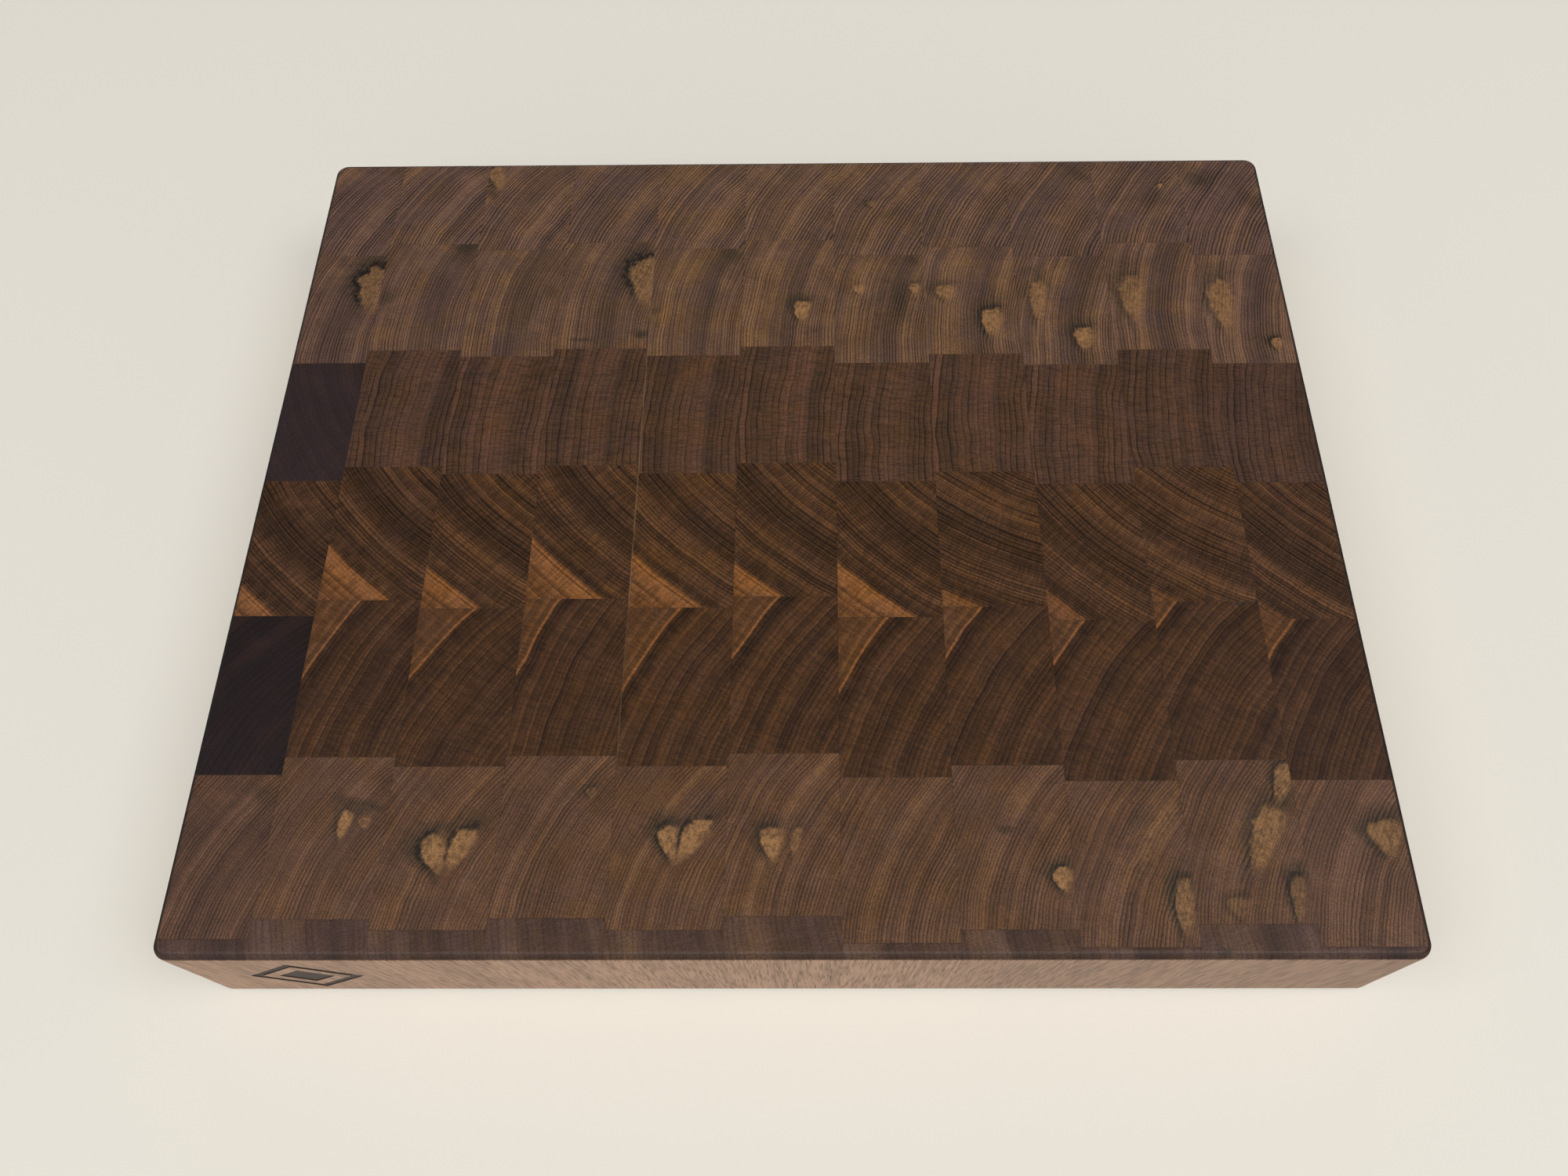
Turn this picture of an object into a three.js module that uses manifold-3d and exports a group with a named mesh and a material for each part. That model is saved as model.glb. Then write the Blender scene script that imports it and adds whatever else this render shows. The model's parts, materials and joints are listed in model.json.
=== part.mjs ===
// An end-grain butcher block of black walnut.
//
// A panel of seven edge-glued strips is crosscut into eleven slices. Each slice is turned so that its end grain
// faces up, and the slices are glued side by side, every one slid a little along its neighbour so that no four
// corners meet. The block is trimmed square, its upright corners are rounded, and so are its top and bottom edges.
//
// Frame: millimetres, +X to the right along the row of slices, +Y to the rear, +Z up.
// The origin is the centre of the underside.

import * as THREE from "three";
import { mergeVertices } from "three/addons/utils/BufferGeometryUtils.js";
import Module from "manifold-3d";

const wasm = await Module();
wasm.setup();

// Driving dimensions.
const BOARD_LENGTH = 478;
const BOARD_DEPTH = 408;
const BOARD_THICKNESS = 63.5;
const CORNER_RADIUS = 6.35; // upright corners
const EDGE_RADIUS = 3.2; // top and bottom edges
const GLUE_GAP = 0.3; // clearance in every joint, where the glue line runs

// The slices, from left to right. A slice is as wide as the planed stock is thick, and the two outer ones are
// what the trim cut left of them.
const STOCK_THICKNESS = 44.45;
const SLICE_COUNT = 11;
const FIRST_SLICE_WIDTH = 36.4;
// How far each slice was slid to the rear when it was glued up.
const SLICE_SHIFT = [-3.3, 4.1, 0, 4.4, 0, 5.2, -4.9, 0, -6.6, 2, -6.4];

// The strips, from the rear to the front. The outermost two run to the trimmed edges, and the five between them
// keep the widths that they were ripped to.
const REAR_JOINT_Y = 144; // joint behind the first full strip, on a slice that was not slid
const STRIPS = [
  { width: 67.0, color: 0x9a6f4d },
  { width: 66.3, color: 0x7e5437 },
  { width: 68.1, color: 0x84532f },
  { width: 71.0, color: 0x774a2b },
  { width: 64.8, color: 0x94704f },
];
const REAR_STRIP_COLOR = 0x946a50;
const FRONT_STRIP_COLOR = 0x6b4532;
const OIL_FINISH_ROUGHNESS = 0.5;

// The slices that share one node in the rear strip.
const REAR_GROUP_SIZE = 3;

const ARC_STEPS = 5; // facets in an upright corner
const EDGE_STEPS = 4; // facets across a rounded edge
const OVERRUN = 10; // how far a cell passes the board's outline before it is trimmed

/** A closed three.js geometry as a manifold-3d solid. */
function solidOf(geometry) {
  const bare = geometry.clone();
  bare.deleteAttribute("normal");
  bare.deleteAttribute("uv");
  const merged = mergeVertices(bare, 1e-4);
  return new wasm.Manifold(
    new wasm.Mesh({
      numProp: 3,
      vertProperties: merged.attributes.position.array,
      triVerts: new Uint32Array(merged.index.array),
    }),
  );
}

/** A manifold-3d solid as a flat-shaded three.js geometry. */
function geometryOf(solid) {
  const { vertProperties, triVerts } = solid.getMesh();
  const indexed = new THREE.BufferGeometry();
  indexed.setAttribute("position", new THREE.BufferAttribute(vertProperties, 3));
  indexed.setIndex(new THREE.BufferAttribute(triVerts, 1));
  const geometry = indexed.toNonIndexed();
  geometry.computeVertexNormals();
  return geometry;
}

/** The outline of the top face, inside the rounded edge. */
function topOutline() {
  const x = BOARD_LENGTH / 2 - EDGE_RADIUS;
  const y = BOARD_DEPTH / 2 - EDGE_RADIUS;
  const r = CORNER_RADIUS - EDGE_RADIUS;
  return new THREE.Shape()
    .absarc(x - r, y - r, r, 0, Math.PI / 2)
    .absarc(r - x, y - r, r, Math.PI / 2, Math.PI)
    .absarc(r - x, r - y, r, Math.PI, 1.5 * Math.PI)
    .absarc(x - r, r - y, r, 1.5 * Math.PI, 2 * Math.PI);
}

/** The whole block as one solid, with its upright corners and its top and bottom edges rounded. */
function trimmedBoard() {
  const slab = new THREE.ExtrudeGeometry(topOutline(), {
    depth: BOARD_THICKNESS - 2 * EDGE_RADIUS,
    bevelThickness: EDGE_RADIUS,
    bevelSize: EDGE_RADIUS,
    bevelSegments: EDGE_STEPS,
    curveSegments: ARC_STEPS,
  });
  slab.translate(0, 0, EDGE_RADIUS);
  return solidOf(slab);
}

/** Left edges of the slices, and the right edge of the last one. */
function sliceEdges() {
  const edges = [-BOARD_LENGTH / 2];
  for (let i = 0; i < SLICE_COUNT - 1; i += 1) {
    edges.push(FIRST_SLICE_WIDTH - BOARD_LENGTH / 2 + i * STOCK_THICKNESS);
  }
  return [...edges, BOARD_LENGTH / 2];
}

/** Y of the joints between strips on a slice that was not slid, from the rear to the front. */
function stripJoints() {
  const joints = [REAR_JOINT_Y];
  for (const { width } of STRIPS) {
    joints.push(joints.at(-1) - width);
  }
  return joints;
}

const board = trimmedBoard();
const edges = sliceEdges();
const joints = stripJoints();

/** A box that stands for one block before the board is trimmed. */
function cell(left, right, front, rear) {
  const box = new THREE.BoxGeometry(right - left, rear - front, BOARD_THICKNESS + 2 * OVERRUN);
  box.translate((left + right) / 2, (front + rear) / 2, BOARD_THICKNESS / 2);
  return solidOf(box);
}

/** The span of a slice in X. The outer faces of the first and the last slice pass the board's outline. */
function sliceSpan(slice) {
  const isFirst = slice === 0;
  const isLast = slice === SLICE_COUNT - 1;
  return {
    left: edges[slice] + (isFirst ? -OVERRUN : GLUE_GAP / 2),
    right: edges[slice + 1] + (isLast ? OVERRUN : -GLUE_GAP / 2),
  };
}

/** One block of a full strip. */
function blockSolid(slice, strip) {
  const { left, right } = sliceSpan(slice);
  const rear = joints[strip] + SLICE_SHIFT[slice] - GLUE_GAP / 2;
  const front = joints[strip + 1] + SLICE_SHIFT[slice] + GLUE_GAP / 2;
  return cell(left, right, front, rear).intersect(board);
}

/** The rear or front ends of neighbouring slices, joined across the slices into one stepped solid. */
function endSolid(slices, spanInY) {
  const first = sliceSpan(slices[0]).left;
  const last = sliceSpan(slices.at(-1)).right;
  const cells = slices.map((slice) => {
    const left = slice === slices[0] ? first : edges[slice];
    const right = slice === slices.at(-1) ? last : edges[slice + 1];
    const { front, rear } = spanInY(slice);
    return cell(left, right, front, rear);
  });
  return cells.reduce((joined, next) => joined.add(next)).intersect(board);
}

function rearSpan(slice) {
  return {
    front: joints[0] + SLICE_SHIFT[slice] + GLUE_GAP / 2,
    rear: BOARD_DEPTH / 2 + OVERRUN,
  };
}

function frontSpan(slice) {
  return {
    front: -BOARD_DEPTH / 2 - OVERRUN,
    rear: joints.at(-1) + SLICE_SHIFT[slice] - GLUE_GAP / 2,
  };
}

function walnut(color) {
  return new THREE.MeshStandardMaterial({ color, roughness: OIL_FINISH_ROUGHNESS, metalness: 0 });
}

/** A named sub-part in the part's own frame. */
function subPart(name, solid, material) {
  const mesh = new THREE.Mesh(geometryOf(solid), material);
  mesh.name = name;
  return mesh;
}

/** The blocks of the five full strips, one node each: slice_01_block_2 is in the leftmost slice. */
function fullStrips() {
  const group = new THREE.Group();
  STRIPS.forEach(({ color }, strip) => {
    const material = walnut(color);
    for (let slice = 0; slice < SLICE_COUNT; slice += 1) {
      const number = String(slice + 1).padStart(2, "0");
      group.add(subPart(`slice_${number}_block_${strip + 2}`, blockSolid(slice, strip), material));
    }
  });
  return group;
}

/** The trimmed strip along the rear edge, in runs of a few slices. */
function rearStrip() {
  const group = new THREE.Group();
  const material = walnut(REAR_STRIP_COLOR);
  const slices = [...Array(SLICE_COUNT).keys()];
  for (let start = 0, run = 1; start < SLICE_COUNT; start += REAR_GROUP_SIZE, run += 1) {
    const members = slices.slice(start, start + REAR_GROUP_SIZE);
    group.add(subPart(`rear_blocks_${run}`, endSolid(members, rearSpan), material));
  }
  return group;
}

/** The thin trimmed strip along the front edge. */
function frontStrip() {
  const slices = [...Array(SLICE_COUNT).keys()];
  return subPart("front_blocks", endSolid(slices, frontSpan), walnut(FRONT_STRIP_COLOR));
}

const cuttingBoard = new THREE.Group();
cuttingBoard.add(fullStrips(), rearStrip(), frontStrip());

export default cuttingBoard;
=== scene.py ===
"""An end-grain cutting board of oiled black walnut, on a pale studio floor.

Eleven slices lie side by side, each of seven blocks with the end grain up. Every block is a piece of
its own, built inside the box of its CAD node. One wood function makes every material: growth rings round
a pith, rays, pores, sapwood and knots. It is solid, so the grain of a block's sides continues that of
its end.
"""

import json
import math
import random
from dataclasses import dataclass, field

import bpy
from mathutils import Matrix, Vector


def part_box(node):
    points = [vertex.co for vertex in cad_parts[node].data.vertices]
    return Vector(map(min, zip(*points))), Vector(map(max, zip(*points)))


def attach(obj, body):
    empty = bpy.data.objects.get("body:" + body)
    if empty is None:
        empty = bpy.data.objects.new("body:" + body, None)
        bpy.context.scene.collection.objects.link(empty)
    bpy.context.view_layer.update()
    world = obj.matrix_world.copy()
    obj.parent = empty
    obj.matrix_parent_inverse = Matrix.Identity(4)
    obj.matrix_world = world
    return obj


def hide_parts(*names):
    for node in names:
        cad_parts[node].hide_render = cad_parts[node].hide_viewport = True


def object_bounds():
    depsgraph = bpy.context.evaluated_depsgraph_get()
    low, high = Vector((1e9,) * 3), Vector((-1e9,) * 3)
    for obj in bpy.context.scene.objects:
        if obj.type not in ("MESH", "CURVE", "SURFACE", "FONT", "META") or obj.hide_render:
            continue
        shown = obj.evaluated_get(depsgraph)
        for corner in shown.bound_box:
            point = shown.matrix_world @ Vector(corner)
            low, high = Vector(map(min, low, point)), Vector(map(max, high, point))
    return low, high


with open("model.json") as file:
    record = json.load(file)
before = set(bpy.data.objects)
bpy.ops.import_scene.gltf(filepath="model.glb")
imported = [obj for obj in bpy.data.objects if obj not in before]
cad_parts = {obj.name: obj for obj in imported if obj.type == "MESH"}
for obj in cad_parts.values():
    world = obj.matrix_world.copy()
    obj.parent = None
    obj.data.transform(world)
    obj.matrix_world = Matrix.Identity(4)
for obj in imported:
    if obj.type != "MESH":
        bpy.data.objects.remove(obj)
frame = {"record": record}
cad_low, cad_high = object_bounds()

MM = 0.001

# --------------------------------------------------------------------------------------------------
# The board, read from the frame. Lengths are in millimetres until a vertex is written.

SLICES = 11
STRIPS = 7
HALF_LENGTH = cad_high.x / MM
HALF_DEPTH = cad_high.y / MM
THICKNESS = cad_high.z / MM
CORNER_RADIUS = 6.35
EDGE_RADIUS = 3.2
HAIRLINE = 0.04  # what is left of the glue line between two blocks
EASE = 0.3  # how far the sanded arris of a block falls back at a joint
CORNER_STEPS = 8
EDGE_STEPS = 8
SHARP_ANGLE = math.radians(35)  # edges that turn by more than this stay sharp
REAR_GROUP_SIZE = 3  # slices that share one CAD node in the rear strip


def node_name(slice_number, strip_number):
    """The CAD node that holds a block. The trimmed rows share nodes."""
    if strip_number == 1:
        return f"rear_blocks_{(slice_number - 1) // REAR_GROUP_SIZE + 1}"
    if strip_number == STRIPS:
        return "front_blocks"
    return f"slice_{slice_number:02d}_block_{strip_number}"


@dataclass
class Block:
    """One block of wood: its place in the board, and its rectangle seen from above."""

    slice: int
    strip: int
    left: float
    right: float
    front: float
    rear: float

    @property
    def name(self):
        return f"walnut_s{self.slice:02d}_b{self.strip}"

    @property
    def centre(self):
        return (self.left + self.right) / 2, (self.front + self.rear) / 2

    @property
    def is_outer(self):
        return self.slice in (1, SLICES) or self.strip in (1, STRIPS)


def cell_box(slice_number, strip_number):
    """Left, right, front and rear of the CAD node of a full block."""
    low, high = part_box(f"slice_{slice_number:02d}_block_{strip_number}")
    return [value / MM for value in (low.x, high.x, low.y, high.y)]


def block_layout():
    """All blocks, from the boxes of their CAD nodes, widened to leave a hairline of the glue gap."""
    glue_gap = cell_box(2, 2)[0] - cell_box(1, 2)[1]
    grow = (glue_gap - HAIRLINE) / 2
    blocks = []
    for number in range(1, SLICES + 1):
        left, right, _, second_rear = cell_box(number, 2)
        sixth_front = cell_box(number, STRIPS - 1)[2]
        left = -HALF_LENGTH if number == 1 else left - grow
        right = HALF_LENGTH if number == SLICES else right + grow
        blocks.append(Block(number, 1, left, right, second_rear + glue_gap - grow, HALF_DEPTH))
        for strip in range(2, STRIPS):
            _, _, front, rear = cell_box(number, strip)
            blocks.append(Block(number, strip, left, right, front - grow, rear + grow))
        blocks.append(Block(number, STRIPS, left, right, -HALF_DEPTH, sixth_front - glue_gap + grow))
    return blocks


# --------------------------------------------------------------------------------------------------
# The mesh of a block.


def right_side(y_from, y_to, inset):
    """Points up the board's right outline from one depth to another, round the corners between them."""
    radius = CORNER_RADIUS - inset
    centre_x, centre_y = HALF_LENGTH - CORNER_RADIUS, HALF_DEPTH - CORNER_RADIUS

    def lean(y):
        reach = min(max(abs(y) - centre_y, 0) / radius, 1)
        return math.copysign(math.asin(reach), y)

    points = []
    start, end = lean(y_from), lean(y_to)
    spans = [(start, min(end, 0), -centre_y), (max(start, 0), end, centre_y)]
    for first, last, arc_y in spans:
        if last <= first:
            continue
        for step in range(CORNER_STEPS + 1):
            angle = first + (last - first) * step / CORNER_STEPS
            points.append((centre_x + radius * math.cos(angle), arc_y + radius * math.sin(angle)))
    if start == 0:
        points.insert(0, (HALF_LENGTH - inset, y_from))
    if end == 0:
        points.append((HALF_LENGTH - inset, y_to))
    return points


def outline(block, inset, ease):
    """A block's outline from above, anticlockwise, with the board's outer edge drawn in by inset."""
    front = -HALF_DEPTH + inset if block.strip == STRIPS else block.front + ease
    rear = HALF_DEPTH - inset if block.strip == 1 else block.rear - ease
    if block.slice == SLICES:
        right = right_side(front, rear, inset)
    else:
        right = [(block.right - ease, front), (block.right - ease, rear)]
    if block.slice == 1:
        left = [(-x, y) for x, y in reversed(right_side(front, rear, inset))]
    else:
        left = [(block.left + ease, rear), (block.left + ease, front)]
    return right + left


def heights(block):
    """(height, inset, ease) of each outline, from the underside up."""
    lower = []
    for step in range(EDGE_STEPS + 1):
        angle = math.pi / 2 * step / EDGE_STEPS
        rise = EDGE_RADIUS * (1 - math.cos(angle))
        inset = EDGE_RADIUS * (1 - math.sin(angle))
        lower.append((rise, inset, EASE if step == 0 else 0))
    if not block.is_outer:
        lower = lower[:2]  # the eased arris and nothing of the rounded edge
    return lower + [(THICKNESS - z, inset, ease) for z, inset, ease in reversed(lower)]


def block_mesh(block):
    """One closed prism, lofted through its outlines."""
    rings = [
        [(x * MM, y * MM, z * MM) for x, y in outline(block, inset, ease)]
        for z, inset, ease in heights(block)
    ]
    count = len(rings[0])
    vertices = [point for ring in rings for point in ring]
    faces = [tuple(reversed(range(count))), tuple(range(len(vertices) - count, len(vertices)))]
    for level in range(len(rings) - 1):
        for i in range(count):
            j = (i + 1) % count
            low, high = level * count, (level + 1) * count
            faces.append((low + i, low + j, high + j, high + i))
    mesh = bpy.data.meshes.new(block.name)
    mesh.from_pydata(vertices, [], faces)
    mesh.validate()
    return mesh


def lozenge(reach):
    """Corners of an upright square standing on its point in the middle of the mark, as (x, z)."""
    x, z = MARK_MIDDLE
    return [(x + reach, z), (x, z + reach), (x - reach, z), (x, z - reach)]


def mark_cutter():
    """A lozenge inside the outline of a larger one, to be branded into the front of the board."""
    rings = [lozenge(reach) for reach in MARK_REACHES]
    depths = (-HALF_DEPTH - MARK_OVERRUN, -HALF_DEPTH + MARK_DEPTH)
    vertices = [(x * MM, y * MM, z * MM) for ring in rings for y in depths for x, z in ring]
    corners = 4
    outer, inner, solid = 0, 2 * corners, 4 * corners  # the first vertex of each ring
    deep = corners  # from a vertex before the board to the one inside it
    near_face = tuple(solid + i for i in range(corners))
    faces = [near_face, tuple(deep + i for i in reversed(near_face))]
    for i in range(corners):
        j = (i + 1) % corners
        faces.append((outer + i, outer + j, inner + j, inner + i))
        faces.append((outer + deep + j, outer + deep + i, inner + deep + i, inner + deep + j))
        faces.append((outer + j, outer + i, outer + deep + i, outer + deep + j))
        faces.append((inner + i, inner + j, inner + deep + j, inner + deep + i))
        faces.append((solid + j, solid + i, solid + deep + i, solid + deep + j))
    mesh = bpy.data.meshes.new("mark_cutter")
    mesh.from_pydata(vertices, [], faces)
    return mesh


def burnt_wood():
    """Walnut charred by a branding iron."""
    material = bpy.data.materials.new("burnt_mark")
    material.use_nodes = True
    tree = material.node_tree
    shader = tree.nodes["Principled BSDF"]
    board = Field(tree, tree.nodes.new("ShaderNodeTexCoord").outputs["Object"])
    char = grained(board, across=MM / 0.9, along=MM / 0.3, detail=3.0)
    plug(blend(char.rise(0.35, 0.7), BURNT, BURNT_LIGHT), shader.inputs["Base Color"])
    plug(char * 0.2 + 0.6, shader.inputs["Roughness"])
    return material


def brand(pieces):
    """Cuts the mark out of the pieces it crosses. The cutter it returns goes once the cut is applied."""
    cutter = add_object("mark_cutter", mark_cutter())
    cutter.data.materials.append(burnt_wood())
    for piece in pieces:
        cut = piece.modifiers.new("mark", "BOOLEAN")
        cut.operation = "DIFFERENCE"
        cut.solver = "EXACT"
        cut.material_mode = "TRANSFER"
        cut.object = cutter
    return cutter


def smooth_rounded_edges(objects):
    """Smooth shading that keeps the flat faces flat, applied to the meshes."""
    for obj in objects:
        obj.data.shade_smooth()
        obj.data.set_sharp_from_angle(angle=SHARP_ANGLE)
        obj.modifiers.new("flat faces stay flat", "WEIGHTED_NORMAL").keep_sharp = True
    evaluated = bpy.context.evaluated_depsgraph_get()
    made = [bpy.data.meshes.new_from_object(obj.evaluated_get(evaluated)) for obj in objects]
    for obj, mesh in zip(objects, made):
        obj.modifiers.clear()
        obj.data = mesh


def add_object(name, data):
    """An object in the scene, with a mesh or other data."""
    obj = bpy.data.objects.new(name, data)
    bpy.context.scene.collection.objects.link(obj)
    return obj


# --------------------------------------------------------------------------------------------------
# Arithmetic on the sockets of a material.


class Field:
    """A number or vector that varies over a surface. Its operators add the nodes that work it out."""

    def __init__(self, tree, socket):
        self.tree = tree
        self.socket = socket

    def math(self, operation, *others):
        """This number worked on by a Math node."""
        node = self.tree.nodes.new("ShaderNodeMath")
        node.operation = operation
        for target, value in zip(node.inputs, (self, *others)):
            plug(value, target)
        return Field(self.tree, node.outputs[0])

    def vector_math(self, operation, *others):
        """This vector worked on by a Vector Math node."""
        node = self.tree.nodes.new("ShaderNodeVectorMath")
        node.operation = operation
        for target, value in zip(node.inputs, (self, *others)):
            plug(value, target)
        output = "Value" if operation == "LENGTH" else "Vector"
        return Field(self.tree, node.outputs[output])

    def __add__(self, other):
        return self.math("ADD", other)

    def __sub__(self, other):
        return self.math("SUBTRACT", other)

    def __mul__(self, other):
        return self.math("MULTIPLY", other)

    def __truediv__(self, other):
        return self.math("DIVIDE", other)

    def __rsub__(self, other):
        return self.math("MULTIPLY_ADD", -1.0, other)

    def parts(self):
        """The x, y and z of a vector."""
        node = self.tree.nodes.new("ShaderNodeSeparateXYZ")
        plug(self, node.inputs[0])
        return [Field(self.tree, output) for output in node.outputs]

    def rise(self, start, end):
        """0 up to start, 1 from end on, and smooth between. Start may be the larger."""
        node = self.tree.nodes.new("ShaderNodeMapRange")
        node.interpolation_type = "SMOOTHSTEP"
        low, high = min(start, end), max(start, end)
        plug(self, node.inputs["Value"])
        node.inputs["From Min"].default_value = low
        node.inputs["From Max"].default_value = high
        node.inputs["To Min"].default_value = 0.0 if start < end else 1.0
        node.inputs["To Max"].default_value = 1.0 if start < end else 0.0
        return Field(self.tree, node.outputs["Result"])

    def band(self, middle, half_width):
        """1 at the middle, falling smoothly to 0 a half width away."""
        return (self - middle).math("ABSOLUTE").rise(half_width, 0.0)


def plug(value, target):
    """Feeds a socket, from a Field or with a constant."""
    if isinstance(value, Field):
        target.node.id_data.links.new(value.socket, target)
    else:
        target.default_value = value


def new_group(name, inputs, outputs):
    """A node group, its inputs as Fields by name, and the sockets that take its outputs."""
    group = bpy.data.node_groups.new(name, "ShaderNodeTree")
    for socket_name, kind in inputs.items():
        group.interface.new_socket(socket_name, in_out="INPUT", socket_type=kind)
    for socket_name, kind in outputs.items():
        group.interface.new_socket(socket_name, in_out="OUTPUT", socket_type=kind)
    source = group.nodes.new("NodeGroupInput")
    sink = group.nodes.new("NodeGroupOutput")
    fields = {socket_name: Field(group, source.outputs[socket_name]) for socket_name in inputs}
    return group, fields, sink.inputs


def join(x, y, z):
    """A vector from three numbers, at least one of them a Field."""
    tree = next(value.tree for value in (x, y, z) if isinstance(value, Field))
    node = tree.nodes.new("ShaderNodeCombineXYZ")
    for target, value in zip(node.inputs, (x, y, z)):
        plug(value, target)
    return Field(tree, node.outputs[0])


def scaled(vector, scale, shift=(0, 0, 0)):
    """A vector stretched, and then moved."""
    return vector.vector_math("MULTIPLY_ADD", scale, shift)


def noise(vector, detail=2.0, roughness=0.5, colour=False):
    """Smooth noise from 0 to 1 with features about one unit across."""
    node = vector.tree.nodes.new("ShaderNodeTexNoise")
    node.inputs["Scale"].default_value = 1.0
    node.inputs["Detail"].default_value = detail
    node.inputs["Roughness"].default_value = roughness
    plug(vector, node.inputs["Vector"])
    return Field(vector.tree, node.outputs["Color" if colour else "Fac"])


def grained(place, across, along, shift=(0, 0, 0), **settings):
    """Noise drawn out along the grain. Its features are this large across the grain and along it."""
    return noise(scaled(place, (1 / across, 1 / across, 1 / along), shift), **settings)


def noise_along(value, detail=1.0):
    """Smooth noise of one number."""
    node = value.tree.nodes.new("ShaderNodeTexNoise")
    node.noise_dimensions = "1D"
    node.inputs["Scale"].default_value = 1.0
    node.inputs["Detail"].default_value = detail
    plug(value, node.inputs["W"])
    return Field(value.tree, node.outputs["Fac"])


def dice(value):
    """A random number from 0 to 1 for each value."""
    node = value.tree.nodes.new("ShaderNodeTexWhiteNoise")
    node.noise_dimensions = "1D"
    plug(value, node.inputs["W"])
    return Field(value.tree, node.outputs["Value"])


def cells(vector):
    """Distance to the nearest of a scatter of points, one to a unit cell."""
    node = vector.tree.nodes.new("ShaderNodeTexVoronoi")
    node.inputs["Scale"].default_value = 1.0
    plug(vector, node.inputs["Vector"])
    return Field(vector.tree, node.outputs["Distance"])


def blend(factor, first, second, mode="MIX"):
    """Mixes two colours, each a Field or an (r, g, b)."""
    tree = factor.tree if isinstance(factor, Field) else first.tree
    node = tree.nodes.new("ShaderNodeMix")
    node.data_type = "RGBA"
    node.blend_type = mode
    plug(factor, node.inputs["Factor"])
    for target, value in ((node.inputs["A"], first), (node.inputs["B"], second)):
        plug(value if isinstance(value, Field) else (*value, 1.0), target)
    return Field(tree, node.outputs["Result"])


def ramp(value, *stops):
    """A colour from evenly spaced stops."""
    node = value.tree.nodes.new("ShaderNodeValToRGB")
    plug(value, node.inputs["Fac"])
    elements = node.color_ramp.elements
    while len(elements) < len(stops):
        elements.new(0.5)  # moved below
    for i, (element, colour) in enumerate(zip(elements, stops)):
        element.position = i / (len(stops) - 1)
        element.color = (*colour, 1.0)
    return Field(value.tree, node.outputs["Color"])


def shaded(factor, colour):
    """An (r, g, b) made darker or lighter."""
    return tuple(factor * channel for channel in colour)


def srgb(red, green, blue):
    """A colour given as it looks on a screen, 0 to 255, as linear light."""

    def linear(value):
        value = value / 255
        return value / 12.92 if value <= 0.04045 else ((value + 0.055) / 1.055) ** 2.4

    return linear(red), linear(green), linear(blue)


# --------------------------------------------------------------------------------------------------
# The seven strips that the board was made from. Places are in millimetres from the middle of a block.


@dataclass
class Wood:
    """How the end grain of one strip looks."""

    pith: tuple  # centre of the growth rings
    pitch: float  # width of a growth ring
    dark: tuple
    middle: tuple
    light: tuple
    line: float = 0.3  # how dark the late wood is
    pale: float = 0.1  # how pale the early wood is
    wave: float = 2.0  # how far the rings wander
    wave_size: float = 40.0
    seed: float = 0.0  # picks the random pattern
    uneven: float = 1.8  # how much the rings differ in width
    contrast: float = 0.2  # how much they differ in tone
    rays: float = 0.1
    bands: list = field(default_factory=list)  # (distance outward from the middle, half width, tone)
    sap_reach: list = None  # how far sapwood comes along the left edge and the other, slice by slice
    sap_corner: int = 0  # 1 if the sapwood is in the rear corner, -1 if in the front one
    sap_radius: float = 120.0  # of the last ring before the sapwood
    sap: tuple = (0, 0, 0)
    sap_rim: tuple = (0, 0, 0)
    sap_edge: float = 0.5  # half the width over which heartwood turns to sapwood


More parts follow.
